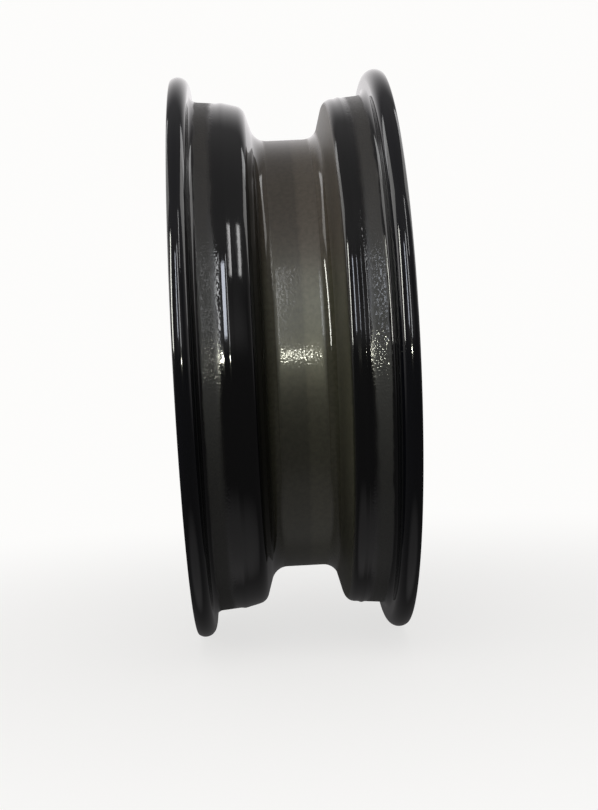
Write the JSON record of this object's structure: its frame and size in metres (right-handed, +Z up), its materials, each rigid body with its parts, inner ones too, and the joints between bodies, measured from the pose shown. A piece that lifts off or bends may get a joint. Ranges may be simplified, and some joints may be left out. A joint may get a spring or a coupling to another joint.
{
  "type": "steel trailer wheel",
  "caption": "Bare black-painted steel trailer wheel: a rolled drop-centre rim with safety humps, welded round a pressed disc that bolts to a hub.",
  "frame": {"origin": "the wheel's centre: on its axis, midway between the two bead flanges, in the plane of the disc's hub face (zero offset)", "axes": "+Z up, +Y along the wheel's axis towards the hub (inboard), -Y the outboard side; the valve hole is towards +X"},
  "size_m": [0.4164, 0.1528, 0.4164],
  "materials": {
    "rim_paint": "gloss black paint with light orange peel",
    "disc_paint": "gloss black paint",
    "weld_paint": "black paint over rippled weld"
  },
  "bodies": {
    "root": {"rim": "rim_paint", "disc": "disc_paint", "weld_1": "weld_paint", "weld_2": "weld_paint", "weld_3": "weld_paint", "weld_4": "weld_paint", "weld_5": "weld_paint", "weld_6": "weld_paint", "weld_7": "weld_paint", "weld_8": "weld_paint"}
  },
  "joints": []
}
